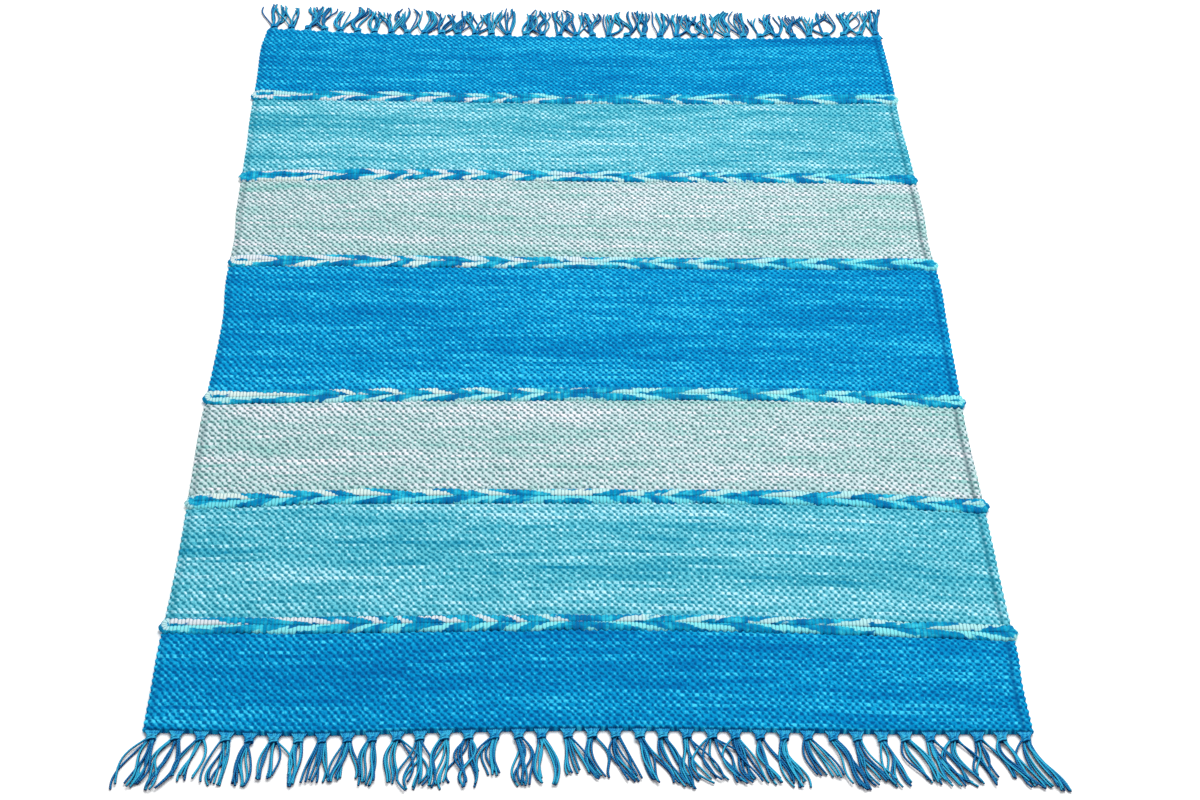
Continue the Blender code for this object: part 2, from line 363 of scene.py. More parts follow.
def make_band(name, index, chance):
    first, last, length = band_lines(index)
    rows = round(length / ROW_PITCH)
    share, bulge, level, on_top = band_section()
    u = (share * WARPS)[None, :]
    v = np.linspace(0, rows, rows * SAMPLES + 1)[:, None]
    straight_x = LEFT_SIDE[0] + share[None, :] * (RIGHT_SIDE[0] - LEFT_SIDE[0])
    along = v / rows
    y = smooth(straight_x, BOW_X, first) * (1 - along) + smooth(straight_x, BOW_X, last) * along
    ends = np.minimum(v, rows - v)
    y = y + slack_of(chance, u, v, ROW_SLACK) * np.clip(ends / FREE_ROWS, 0, 1)
    left, right = side_edges(y)
    at_edge = ((share == 0) | (share == 1))[None, :]
    outward = np.where(share > 0.5, 1, -1)[None, :]
    x = left + share * (right - left) + bulge
    x = x + np.where(at_edge, SCALLOP * np.cos(math.pi * v) * outward, 0)
    x = x + slack_of(chance, u, v, WARP_SLACK) * (4 * share * (1 - share))[None, :]
    z = band_heights(chance, u, v, ends, share * (right - left), (1 - share) * (right - left))
    z = np.where(on_top[None, :], z, level[None, :] + 0 * z)
    points = np.dstack(np.broadcast_arrays(x, y, z))
    points[:, -1] = points[:, 0]
    threads = np.dstack(np.broadcast_arrays(u, v + BAND_APART * index))
    maps = {"threads": threads, "OFBake": bake_map(*points.shape[:2])}
    return roll_grid(name, points, maps), length


weaver = np.random.default_rng(WEAVER_SEED)
bands = []
for index, (name, dye) in enumerate(BANDS):
    piece, length = make_band(name, index, weaver)
    bands.append((piece, dye, length))

# %% [markdown]
# Materials are trees of nodes. They could be linked by hand in the editor, but these are large, and
# the yarns share most of their parts. A few short helpers keep them readable in code: one makes a
# node and links its inputs, and the others are the sums, steps, blends and noises.

# %% Helpers for materials
COLOUR_A, COLOUR_B, COLOUR_OUT = 6, 7, 2  # the sockets of a Mix node that is set to colours
STREAM_SPREAD = 900.0  # how far apart two streams may lie
COTTON_GLOSS = 0.05


def linear(red, green, blue):
    """A colour from its 0 to 255 screen values, as shaders want it."""
    shares = [value / 255 for value in (red, green, blue)]
    return tuple(s / 12.92 if s <= 0.04045 else ((s + 0.055) / 1.055) ** 2.4 for s in shares)


def node(tree, kind, inputs=None, **settings):
    """A new node, with its inputs linked to sockets or set to values."""
    made = tree.nodes.new(kind)
    for key, value in settings.items():
        setattr(made, key, value)
    for key, value in (inputs or {}).items():
        if isinstance(value, bpy.types.NodeSocket):
            tree.links.new(value, made.inputs[key])
        else:
            made.inputs[key].default_value = value
    return made


def sums(tree, operation, *values):
    return node(tree, "ShaderNodeMath", dict(enumerate(values)), operation=operation).outputs[0]


def swayed(tree, value, chance, strength):
    """A value moved up or down by a chance that lies between 0 and 1."""
    return sums(tree, "MULTIPLY_ADD", sums(tree, "SUBTRACT", chance, 0.5), strength, value)


def above(tree, value, low, high):
    """0 below low and 1 above high, with a smooth step."""
    made = node(
        tree, "ShaderNodeMapRange",
        {"Value": value, "From Min": low, "From Max": high},
        interpolation_type="SMOOTHSTEP",
    )
    return made.outputs["Result"]


def below(tree, value, low, high):
    """1 below low and 0 above high, with a smooth step."""
    return above(tree, sums(tree, "MULTIPLY", value, -1.0), -high, -low)


def blend(tree, share, first, second):
    made = node(tree, "ShaderNodeMix", {0: share}, data_type="RGBA")
    for socket, colour in ((COLOUR_A, first), (COLOUR_B, second)):
        if isinstance(colour, bpy.types.NodeSocket):
            tree.links.new(colour, made.inputs[socket])
        else:
            made.inputs[socket].default_value = (*colour, 1.0)
    return made.outputs[COLOUR_OUT]


def ramp(tree, value, stops):
    made = node(tree, "ShaderNodeValToRGB", {"Fac": value})
    elements = made.color_ramp.elements
    while len(elements) < len(stops):
        elements.new(0.5)
    for element, (place, colour) in zip(elements, stops):
        element.position = place
        element.color = (*colour, 1.0)
    return made.outputs["Color"]


def map_values(tree, name):
    """The two numbers that a piece's UV map holds."""
    uv = node(tree, "ShaderNodeUVMap", uv_map=name).outputs["UV"]
    split = node(tree, "ShaderNodeSeparateXYZ", {0: uv})
    return split.outputs["X"], split.outputs["Y"]


def noise(tree, x, y, z=None, scale=1.0, detail=1.0, roughness=0.5):
    """Noise over two numbers, or over three."""
    place = node(tree, "ShaderNodeCombineXYZ", {"X": x, "Y": y, "Z": 0.0 if z is None else z})
    made = node(
        tree, "ShaderNodeTexNoise",
        {"Vector": place.outputs[0], "Scale": scale, "Detail": detail, "Roughness": roughness},
        noise_dimensions="2D" if z is None else "3D",
    )
    return made.outputs["Fac"]


def own_value(tree, number):
    """A chance that is the same wherever the number is the same."""
    return node(
        tree, "ShaderNodeTexWhiteNoise", {"W": number}, noise_dimensions="1D",
    ).outputs["Value"]


def stream(tree, along, number, scale, seed, detail=2.0):
    """Noise along a thread. Each thread number has a stream of its own."""
    start = sums(tree, "MULTIPLY", own_value(tree, sums(tree, "ADD", number, seed)), STREAM_SPREAD)
    place = sums(tree, "ADD", sums(tree, "MULTIPLY", along, scale), start)
    made = node(
        tree, "ShaderNodeTexNoise",
        {"W": place, "Scale": 1.0, "Detail": detail, "Roughness": 0.55}, noise_dimensions="1D",
    )
    return made.outputs["Fac"]


def cotton(name, roughness=0.95):
    """A new cotton material, its tree and its shader."""
    material = bpy.data.materials.new(name)
    material.use_nodes = True
    shader = material.node_tree.nodes["Principled BSDF"]
    shader.inputs["Roughness"].default_value = roughness
    shader.inputs["Specular IOR Level"].default_value = COTTON_GLOSS
    return material, material.node_tree, shader


def finish_yarn(tree, shader, dye, height, strength, distance):
    """Gives a shader its dye and its fine relief."""
    tree.links.new(dye, shader.inputs["Base Color"])
    bump = node(
        tree, "ShaderNodeBump", {"Height": height, "Strength": strength, "Distance": distance * MM}
    )
    tree.links.new(bump.outputs["Normal"], shader.inputs["Normal"])


print("white on the screen is", linear(255, 255, 255), "to a shader")

# %% [markdown]
# The yarn was dyed unevenly, so the colour changes every few centimetres along a row and hardly
# across it. In the material, the row number picks one random stream of noise, and the warp count
# runs along it. A ramp turns that noise into dyes. The same chequer that raised the beads paints
# their tops lighter, as a painted highlight, and darkens the pits, where a little of the warp shows,
# with painted shade, because little light gets down there. Fine stretched noise is the spun fibre.

# %% The woven dyes
DYES = {
    "deep_blue": dict(
        stops=((0.16, linear(0, 88, 150)), (0.38, linear(0, 120, 176)),
               (0.58, linear(6, 147, 196)), (0.84, linear(62, 198, 230))),
        pit=linear(0, 72, 128), pit_share=0.8, contrast=1.2,
    ),
    "turquoise": dict(
        stops=((0.16, linear(18, 130, 166)), (0.38, linear(66, 164, 184)),
               (0.58, linear(106, 188, 204)), (0.84, linear(184, 224, 238))),
        pit=linear(8, 96, 118), pit_share=0.75, contrast=1.4,
    ),
    "pale_mint": dict(
        stops=((0.14, linear(112, 184, 178)), (0.36, linear(150, 192, 190)),
               (0.56, linear(180, 202, 206)), (0.88, linear(230, 222, 230))),
        pit=linear(60, 86, 94), pit_share=0.84, contrast=1.35,
    ),
}
STREAKS = ((0.022, 3.0, 0.48), (0.07, 41.0, 0.22))  # waves to a warp thread, seed, share
CLOUD_TO_WARP, CLOUD_TO_ROW, CLOUD_SHARE = 0.006, 0.11, 0.30
MIDDLE_SHADE = 0.47
BEAD_HIGHLIGHT_AND_SHADE, BEAD_OWN, FIBRE_LIGHT = 0.17, 0.34, 0.55  # how far each moves the shade
BORDER_WOBBLE = 4.4  # radians
FIBRE_TO_WARP, FIBRE_TO_ROW, FIBRE_SLANT = 1.7, 2.6, 1.1
PIT_START, PIT_END = 0.2, -0.75
# The selvedge grooves are darkened towards the pit colour, as painted shade.
SELVEDGE_GROOVE_SHADE = ((1.4, 0.35), (223.8, 0.65))  # the warp count of each groove, and how dark it is
SELVEDGE_WIDTH = 1.1


def dye_streaks(tree, warp, weft, row):
    """Uneven dyeing: long and short streaks in each row, and clouds over many rows."""
    across = sums(tree, "MULTIPLY", warp, CLOUD_TO_WARP)
    along = sums(tree, "MULTIPLY", weft, CLOUD_TO_ROW)
    total = sums(tree, "MULTIPLY", noise(tree, across, along), CLOUD_SHARE)
    for to_warp, seed, share in STREAKS:
        total = sums(tree, "MULTIPLY_ADD", stream(tree, warp, row, to_warp, seed), share, total)
    return total


def dye_chequer(tree, warp, weft):
    """The relief's chequer with wobbly borders, from -1 in a pit to 1 on a bead."""
    wobble = swayed(tree, 0.0, noise(tree, warp, weft, scale=0.6), BORDER_WOBBLE)
    falling = sums(tree, "MULTIPLY_ADD", sums(tree, "ADD", warp, weft), math.pi, wobble)
    rising = sums(tree, "MULTIPLY_ADD", sums(tree, "SUBTRACT", warp, weft), math.pi, wobble)
    falling, rising = sums(tree, "COSINE", falling), sums(tree, "COSINE", rising)
    lean = sums(tree, "MULTIPLY_ADD", warp, (LEAN_RIGHT - LEAN_LEFT) / WARPS, LEAN_LEFT)
    return sums(tree, "MULTIPLY_ADD", lean, sums(tree, "SUBTRACT", falling, rising), rising)


def spun_fibre(tree, warp, weft):
    """Fine noise that is stretched and slanted like the yarn's fibres."""
    along = sums(tree, "MULTIPLY", warp, FIBRE_TO_WARP)
    slanted = sums(tree, "MULTIPLY", weft, FIBRE_TO_ROW)
    slanted = sums(tree, "MULTIPLY_ADD", warp, FIBRE_SLANT, slanted)
    return noise(tree, along, slanted, detail=3.0, roughness=0.7)


def woven(name, stops, pit, pit_share, contrast):
    material, tree, shader = cotton(name)
    warp, weft = map_values(tree, "threads")
    row = sums(tree, "ROUND", weft)
    chequer, fibre = dye_chequer(tree, warp, weft), spun_fibre(tree, warp, weft)
    place = node(tree, "ShaderNodeCombineXYZ", {"X": sums(tree, "ROUND", warp), "Y": row})
    bead = node(
        tree, "ShaderNodeTexWhiteNoise", {"Vector": place.outputs[0]}, noise_dimensions="2D",
    ).outputs["Value"]
    shade = swayed(tree, MIDDLE_SHADE, dye_streaks(tree, warp, weft, row), contrast)
    # Painted highlight on the bead tops, and painted shade down towards the pits.
    shade = sums(tree, "MULTIPLY_ADD", chequer, BEAD_HIGHLIGHT_AND_SHADE, shade)
    own_light = sums(tree, "MULTIPLY", sums(tree, "MAXIMUM", chequer, 0.0), BEAD_OWN)
    shade = swayed(tree, shade, bead, own_light)
    shade = swayed(tree, shade, fibre, FIBRE_LIGHT)
    dye = ramp(tree, shade, stops)
    # The pits: partly the warp that shows there, darkened with painted shade.
    deep = below(tree, chequer, PIT_END, PIT_START)
    dye = blend(tree, sums(tree, "MULTIPLY", deep, pit_share), dye, pit)
    # Painted shade in the grooves along both selvedges.
    for groove, darkness in SELVEDGE_GROOVE_SHADE:
        away = sums(tree, "ABSOLUTE", sums(tree, "SUBTRACT", warp, groove))
        near = below(tree, away, 0.0, SELVEDGE_WIDTH)
        dye = blend(tree, sums(tree, "MULTIPLY", near, darkness), dye, pit)
    height = sums(tree, "MULTIPLY_ADD", fibre, 0.8, chequer)
    finish_yarn(tree, shader, dye, height, 0.6, 0.5)
    return material


woven_dyes = {name: woven(name + " weave", **recipe) for name, recipe in DYES.items()}
for piece, dye, _ in bands:
    piece.data.materials.append(woven_dyes[dye])
print("woven dyes:", ", ".join(woven_dyes))

# %% [markdown]
# An arrow band is one thick yarn that crosses the rug, turns round the edge and comes back, so two
# ropes lie side by side. The yarn is a blue and a pale roving twisted together. Where the twist runs
# down to the right in one rope and up to the right in the other, the pale leaves meet as arrows. The
# twist turns over in the middle, so the arrows on the right point back. The tables say where the
# arrows' points lie. The outermost may lie outside the rug, and they set how long the leaves at the
# edges are.

# %% The arrows of each band
PINK_WHITE = (202, 210, 216)
CREAM = (198, 216, 212)
SOFT_MINT = (160, 212, 214)
MINT = (122, 212, 218)
AQUA = (100, 202, 214)

# nubs: how far the yarn stands out at the left and right edge. points: places across the rug.
# blue_points: whether the points are blue. pale: the pale roving's share of the yarn. above, below:
# the pale roving's dyes at the left and at the right, in the upper and in the lower rope.
ArrowBand = namedtuple("ArrowBand", "nubs points blue_points pale above below seed")
ARROW_BANDS = (
    ArrowBand(
        (3.0, 4.0), (-370, -238, -175, -145, -126, -89, -59, -41, -15, 18, 64, 114, 172, 248, 318),
        False, 0.42, (PINK_WHITE, SOFT_MINT), (MINT, MINT), 101),
    ArrowBand(
        (2.5, 4.5), (-370, -263, -232, -200, -174, -118, -75, -27, 13, 42, 67, 105, 158, 201, 243,
                     265, 310),
        True, 0.44, (CREAM, SOFT_MINT), (AQUA, AQUA), 102),
    ArrowBand(
        (2.5, 4.5), (-400, -209, -178, -142, -101, -58, -28, 26, 79, 140, 190, 234, 278, 330),
        False, 0.42, (CREAM, MINT), (SOFT_MINT, MINT), 103),
    ArrowBand(
        (2.0, 3.0), (-283, -225, -161, -142, -86, -61, -14, 36, 74, 104, 164, 203, 243, 289, 330),
        True, 0.42, (PINK_WHITE, MINT), (CREAM, AQUA), 104),
    ArrowBand(
        (3.5, 3.0), (-380, -231, -180, -153, -124, -95, -59, -25, 32, 59, 103, 130, 182, 223, 259,
                     330),
        True, 0.40, (PINK_WHITE, MINT), (CREAM, SOFT_MINT), 105),
    ArrowBand(
        (3.0, 2.5), (-350, -248, -196, -160, -118, -76, -60, -17, 53, 87, 104, 168, 211, 261, 320),
        False, 0.38, (SOFT_MINT, MINT), (PINK_WHITE, SOFT_MINT), 106),
)
POINT_JITTER = 4.0
TWIST_SOFTENING = 5.0  # mm over which the twist changes its pitch
MIDDLE_RISE = 0.005  # turns to a millimetre between the two innermost arrows


def twist_along(x, band, chance):
    """Turns of the twist at each x: one turn from arrow to arrow, up to the middle and down again."""
    moved = [place + chance.uniform(-POINT_JITTER, POINT_JITTER) for place in band.points]
    left = [place for place in moved if place < 0]
    right = [place for place in moved if place >= 0]
    middle = (left[-1] + right[0]) / 2
    top = len(left) + 0.5 + (-0.5 if band.blue_points else 0.5) * band.pale
    places = [*left, middle, *right]
    turns = [*range(1 - len(left), 1), MIDDLE_RISE * (right[0] - left[-1]), *range(0, -len(right), -1)]
    steps = (-TWIST_SOFTENING, 0, TWIST_SOFTENING)
    return top + sum(np.interp(x + step, places, turns) for step in steps) / len(steps)


print("arrow points:", [len(band.points) for band in ARROW_BANDS])

# %% [markdown]
# Each band is a closed loop of rings: along the upper rope, round the right edge, back along the
# lower rope and round the left edge. The section is a squarish round, squarer where the two ropes
# press together and rounder at the nubs, and it is thinner where a warp thread crosses it. The twist
# stands still between two warp threads, because there the yarn lies in one piece over the cloth.

# %% Lay the arrow bands
ROPE_SPACING = 3.75  # each rope's middle from the band's middle
ROPE_WIDTH = 4.0
ROPE_HEIGHT = 3.1
ROPE_MIDDLE = 3.2
ROPE_SIDES = 12
RINGS = 3  # to each warp thread
TURN_RINGS = 9
TURN_WARPS = 2.0  # warp counts to a radian of the turn
PINCH = 0.11
LEAF_GIRTH = 0.05  # how much thicker the pale roving is than the blue one
UNEVEN_GIRTH, UNEVEN_PLACE = 0.05, 0.4
BITE = 0.8  # how far the next row's beads press into the rope
FLATNESS = 0.62  # 1 is a round rope, and less is squarer
INNER_FLATNESS = 0.34
NUB_FLATNESS = 0.95
LEAF_SLANT = 0.56  # turns of the twist from one side of the rope to the other, over the top
LOWER_ROPE = 300  # added to the lower rope's warp counts


def flattened(value, flatness=FLATNESS):
    return np.sign(value) * np.abs(value) ** flatness


def turns_around(angle):
    """Turns of the twist round the section, spread evenly over the side that shows."""
    under = (1 - LEAF_SLANT) / math.pi
    over = LEAF_SLANT * (1 - flattened(np.cos(angle))) / 2
    return np.where(
        angle < 0, under * angle,
        np.where(angle > math.pi, LEAF_SLANT + under * (angle - math.pi), over),
    )


def rope_rings(line, band):
    """The loop's middle line, outward directions, warp count, rope code and twist, ring by ring."""
    reach = ROPE_SPACING + ROPE_WIDTH
    x_left = side_edges(line[0])[0] - band.nubs[0] + reach
    x_right = side_edges(line[-1])[1] + band.nubs[1] - reach
    across = np.linspace(x_left, x_right, WARPS * RINGS + 1)
    warp = np.linspace(0, WARPS, WARPS * RINGS + 1)
    turn = np.linspace(0, math.pi, TURN_RINGS + 2)[1:-1]
    chance = random.Random(band.seed)
    crossed = np.floor(warp + 0.01)  # the warp thread last crossed, safe from rounding
    held = np.interp(crossed + 0.5, warp, across)
    upper, lower = twist_along(held, band, chance), twist_along(held, band, chance)
    y = smooth(across, BOW_X, line)
    ones, zeros = np.ones(len(across)), np.zeros(len(across))
    x = np.concatenate([across, x_right + 0 * turn, across[::-1], x_left + 0 * turn, across[:1]])
    y = np.concatenate([y, y[-1] + 0 * turn, y[::-1], y[0] + 0 * turn, y[:1]])
    out_x = np.concatenate([zeros, np.sin(turn), zeros, -np.sin(turn), [0.0]])
    out_y = np.concatenate([ones, np.cos(turn), -ones, -np.cos(turn), [1.0]])
    turning = TURN_WARPS * turn
    warps = np.concatenate([warp, WARPS + turning, warp[::-1], -turning, warp[:1]])
    code = np.concatenate([zeros, 0.5 + 0 * turn, ones, 0.5 + 0 * turn, [0.0]])
    step = turn / math.pi
    home = upper[0] + round(lower[0] - upper[0])
    around_right = upper[-1] + (lower[-1] - upper[-1]) * step
    around_left = lower[0] + (home - lower[0]) * step
    twist = np.concatenate([upper, around_right, lower[::-1], around_left, [home]])
    return x, y, out_x, out_y, warps, code, twist


def make_arrow_band(name, line, band):
    x, y, out_x, out_y, warps, code, twist = rope_rings(line, band)
    angle = np.linspace(-math.pi / 2, 3 * math.pi / 2, ROPE_SIDES + 1)[None, :]
    groove = ((np.cos(2 * math.pi * warps) + 1) / 2)[:, None] ** 2
    turns = twist[:, None] - turns_around(angle)
    leaf = np.sin(2 * math.pi * turns)
    chance = np.random.default_rng(band.seed)
    uneven = wander(chance, warps + LOWER_ROPE * code, 0.0, 16, 1)[:, None]
    girth = 1 - PINCH * groove + LEAF_GIRTH * leaf + UNEVEN_GIRTH * uneven
    outer = FLATNESS + (NUB_FLATNESS - FLATNESS) * np.abs(out_x)[:, None]
    roundness = np.where(np.cos(angle) < 0, INNER_FLATNESS, outer)
    bite = BITE * np.cos(math.pi * warps)[:, None] * np.maximum(np.cos(angle), 0)
    out = ROPE_SPACING + UNEVEN_PLACE * uneven - bite
    out = out + ROPE_WIDTH * girth * flattened(np.cos(angle), outer)
    points = np.dstack([
        x[:, None] + out_x[:, None] * out,
        y[:, None] + out_y[:, None] * out,
        ROPE_MIDDLE + ROPE_HEIGHT * girth * flattened(np.sin(angle), roundness),
    ])
    points[:, -1] = points[:, 0]
    points[-1] = points[0]
    maps = {
        "twist": np.dstack([turns, warps[:, None] + 0 * turns]),
        "place": np.dstack([warps[:, None] / WARPS + 0 * turns, code[:, None] + 0 * turns]),
        "OFBake": bake_map(*points.shape[:2]),
    }
    return roll_grid(name, points, maps)


arrow_bands = [
    make_arrow_band(f"arrow_band_{number}", line, band)
    for number, (line, band) in enumerate(zip(ARROW_LINES, ARROW_BANDS), 1)
]

# %% [markdown]
# The rope's UV map holds the twist in turns. Where the cosine of a turn is high the pale roving lies
# on top, and elsewhere the blue one. A second wave, twice as fast, splits some of the leaves, and a
# little noise keeps their borders ragged. Both rovings change their dye along the rope, and the pale
# one turns mintier towards the right. Where a warp thread crosses the rope, a dark line of painted
# shade fills the groove, darker on the pale leaves.

# %% The two-coloured rope yarn
ROPE_BLUE = linear(0, 100, 156)
ROPE_AZURE = linear(0, 138, 180)
ROPE_BRIGHT = linear(50, 184, 208)
ROPE_GROOVE_SHADE = linear(60, 110, 126)
OTHER_ROPE_CELLS = 500.0
FRAY = 0.10  # turns by which the border may differ from one warp thread to the next
SPLIT_SHARE = 0.5
SPLIT_DRIFT = 25.0
RAGGEDNESS = 1.2
BORDER_SOFTNESS = 0.12
DYE_DRIFT = 1.1
BLUE_STOPS = ((0.26, ROPE_BLUE), (0.52, ROPE_AZURE), (0.8, ROPE_BRIGHT))


def pale_leaves(tree, turns, warp, rope, own, ragged, pale_share):
    """1 where the pale roving lies on top and 0 where the blue one does."""
    frayed = sums(tree, "MULTIPLY", swayed(tree, turns, own, FRAY), 2 * math.pi)
    slow = stream(tree, warp, sums(tree, "ROUND", rope), 0.05, 23.0, detail=1.0)
    drift = sums(tree, "MULTIPLY", slow, SPLIT_DRIFT)
    halves = sums(tree, "COSINE", sums(tree, "MULTIPLY_ADD", frayed, 2.0, drift))
    leaves = sums(tree, "MULTIPLY_ADD", halves, SPLIT_SHARE, sums(tree, "COSINE", frayed))
    leaves = swayed(tree, leaves, ragged, RAGGEDNESS)
    border = math.cos(math.pi * pale_share)
    return above(tree, leaves, border - BORDER_SOFTNESS, border + BORDER_SOFTNESS)


def pale_roving(tree, across, rope, patch, upper, lower):
    """The pale dye, from its left to its right tint, in the upper and in the lower rope."""
    drift = above(tree, swayed(tree, across, patch, DYE_DRIFT), 0.1, 0.9)
    return blend(
        tree, rope,
        blend(tree, drift, *(linear(*colour) for colour in upper)),
        blend(tree, drift, *(linear(*colour) for colour in lower)),
    )


def blue_roving(tree, rope, patch, own, ragged):
    tint = swayed(tree, swayed(tree, patch, ragged, 1.0), own, 0.3)
    return ramp(tree, sums(tree, "MULTIPLY_ADD", rope, -0.05, tint), BLUE_STOPS)


def twisted(name, band):
    material, tree, shader = cotton(name, roughness=0.92)
    turns, warp = map_values(tree, "twist")
    across, rope = map_values(tree, "place")
    cell = sums(tree, "MULTIPLY_ADD", rope, OTHER_ROPE_CELLS, sums(tree, "FLOOR", warp))
    own = own_value(tree, cell)
    ragged = noise(
        tree, sums(tree, "MULTIPLY", warp, 0.35), sums(tree, "MULTIPLY", turns, 4.0), rope, detail=3.0
    )
    patch = stream(tree, warp, sums(tree, "ROUND", rope), 0.10, 7.0)
    pale = pale_leaves(tree, turns, warp, rope, own, ragged, band.pale)
    light = pale_roving(tree, across, rope, patch, band.above, band.below)
    dye = blend(tree, pale, blue_roving(tree, rope, patch, own, ragged), light)
    # Painted shade in the groove where each warp thread crosses the rope, darker on the pale leaves.
    groove = above(tree, sums(tree, "COSINE", sums(tree, "MULTIPLY", warp, 2 * math.pi)), 0.5, 1.0)
    groove_shade = sums(tree, "MULTIPLY", groove, sums(tree, "MULTIPLY_ADD", pale, 0.3, 0.25))
    dye = blend(tree, groove_shade, dye, ROPE_GROOVE_SHADE)
    strand = noise(
        tree, sums(tree, "MULTIPLY", warp, 0.7), sums(tree, "MULTIPLY", turns, 40.0), detail=2.0
    )
    height = sums(tree, "MULTIPLY_ADD", strand, 0.8, sums(tree, "MULTIPLY", groove, -1.3))
    finish_yarn(tree, shader, dye, height, 0.6, 0.6)
    return material


for piece, band in zip(arrow_bands, ARROW_BANDS):
    piece.data.materials.append(twisted(piece.name + " yarn", band))
print("arrow bands:", len(arrow_bands))

# %% [markdown]
# Each tassel gathers the ends of the warp yarn, eight at the front and nine at the back. They leave
# the cloth side by side, pull together into a knot a few millimetres out and then fan over the floor
# in three locks, some bowed, some crossing their neighbours. A hair system would place them quickly,
# but it gives strands without a mesh, so each thread here is a smooth path of its own.

# %% The path of each thread
TASSELS = 37
CORNER_EXTRA = 4  # a corner tassel takes the selvedge cord too
FIRST_TASSEL, LAST_TASSEL = -297.0, 299.0
TASSEL_JITTER = 0.8
LEAN_X = np.array([-300, -240, -160, -80, 0, 80, 160, 240, 300.0])
LEAN_JITTER = 2.5
LOCK_FANS = (-2.2, 0.0, 2.2)
LOCK_JITTER = 1.3
THREAD_RADIUS = 0.84
THREAD_RINGS = 18
ROOT_REACHES = (-1.5, 1.4, 4.0)  # rings before the knot, from the cloth's edge
ROOT_SPREAD, KNOT_SPREAD = 12.0, 5.0  # a tassel's width at the cloth and in its knot
ROOT_LEVEL = 2.3
KNOT_REACH = 6.8  # from the cloth's edge to the knot's middle
KNOT_LEVEL = 2.5
KNOT_LEVEL_JITTER = 0.9
SHORTEST_SHARE = 0.88  # of its tassel's reach
GATHER_CURVE, LEAN_CURVE = 1.5, 1.3
TIP_DRAW = 0.1  # how far the tips draw together again
TIP_JITTER, BOW_JITTER = 0.8, 1.7
STRAY_SHARE = 0.1  # how many threads stray towards a neighbouring tassel
STRAY_REACH = (5, 13)
STRAY_ARC = 0.85
PILE = 1.9  # how high the threads of a tassel lie on each other
SETTLING = 0.28  # the share of a thread's free length in which it sinks to the floor
SETTLING_CURVE = 0.8

# side: which way the end points. threads: to a tassel. leans: of the tips, at LEAN_X. shortest and
# longest: reach of a tassel. bow, wave, curl: how strongly locks and threads bend.
End = namedtuple("End", "name side line threads leans shortest longest bow wave curl seed")
ENDS = (
    End("fringe_front", -1, FRONT_END, 8, np.array([-13, -5, -5, 0, 13, 16, 16, 18, 18.0]),
        40.0, 52.0, 3.2, 1.8, 1.4, 11),
    End("fringe_back", 1, BACK_END, 9, np.array([3, 2, -2, 2, -2, 2, -1, 2, 4.0]),
        43.0, 56.0, 4.4, 2.6, 2.4, 23),
)


def tassel_places(chance):
    pitch = (LAST_TASSEL - FIRST_TASSEL) / (TASSELS - 1)
    inner = [
        FIRST_TASSEL + k * pitch + chance.uniform(-TASSEL_JITTER, TASSEL_JITTER)
        for k in range(1, TASSELS - 1)
    ]
    return [FIRST_TASSEL, *inner, LAST_TASSEL]


def thread_path(end, middle, lean, length, offset, count, lock, chance):
    """A thread's points from inside the cloth over the knot to its tip."""
    length = length * chance.uniform(SHORTEST_SHARE, 1.0)
    beyond = np.linspace(KNOT_REACH, length, THREAD_RINGS - len(ROOT_REACHES))
    reach = np.concatenate([ROOT_REACHES, beyond])
    gather = np.clip(reach / KNOT_REACH, 0, 1)
    spread = (ROOT_SPREAD * (1 - gather) ** GATHER_CURVE + KNOT_SPREAD * gather) / count
    free = np.clip((reach - KNOT_REACH) / (end.longest - KNOT_REACH), 0, 1)
    bowed, waved = np.sin(math.pi * free), np.sin(2 * math.pi * free)
    fan, bow, wave = lock
    x = middle + offset * spread + lean * free**LEAN_CURVE
    x = x + fan * free + bow * bowed + wave * waved
    x = x - offset * TIP_DRAW * free + chance.gauss(0, TIP_JITTER) * free
    x = x + chance.gauss(0, BOW_JITTER) * bowed
    if chance.random() < STRAY_SHARE:
        stray = chance.choice((-1, 1)) * chance.uniform(*STRAY_REACH)
        x = x + stray * np.sin(STRAY_ARC * math.pi * free)
    x = x + end.curl * chance.gauss(0, 1) * waved * free
    y = smooth(x[0], BOW_X, end.line) + end.side * reach
    lie = THREAD_RADIUS + chance.uniform(0.0, PILE)
    rise = KNOT_LEVEL + chance.uniform(-KNOT_LEVEL_JITTER, KNOT_LEVEL_JITTER)
    settle = np.clip(free / SETTLING, 0, 1) ** SETTLING_CURVE
    rising = ROOT_LEVEL + (rise - ROOT_LEVEL) * gather
    z = np.where(reach < KNOT_REACH, rising, rise + (lie - rise) * settle)
    return np.column_stack([x, y, z])


print("tassels:", TASSELS * len(ENDS))

# %% [markdown]
# A thread is a tube of six sides round its path, which is enough for yarn this thin. The threads of
# one end are worked out together and cut apart from one long rolled grid. Their maps hold how often
# the ply has turned, each thread's own shade, how high a point is on its thread and how far it is
# from the cloth.

# %% Lay the threads of the fringe
THREAD_SIDES = 6
PLY_PITCH = 4.2
BAKE_MARGIN = 0.1


def sweep(paths, radius, sides):
    """Points round each path, and the distance along it."""
    ahead = np.gradient(paths, axis=1)
    ahead /= np.linalg.norm(ahead, axis=2, keepdims=True)
    level = np.cross(ahead, (0.0, 0.0, 1.0))
    level /= np.linalg.norm(level, axis=2, keepdims=True)
    upright = np.cross(level, ahead)
    angle = np.linspace(0, 2 * math.pi, sides + 1)[None, None, :, None]
    ring = level[:, :, None] * np.cos(angle) + upright[:, :, None] * np.sin(angle)
    steps = np.linalg.norm(np.diff(paths, axis=1), axis=2)
    distance = np.concatenate([np.zeros((len(paths), 1)), np.cumsum(steps, axis=1)], axis=1)
    return paths[:, :, None] + ring * radius, distance


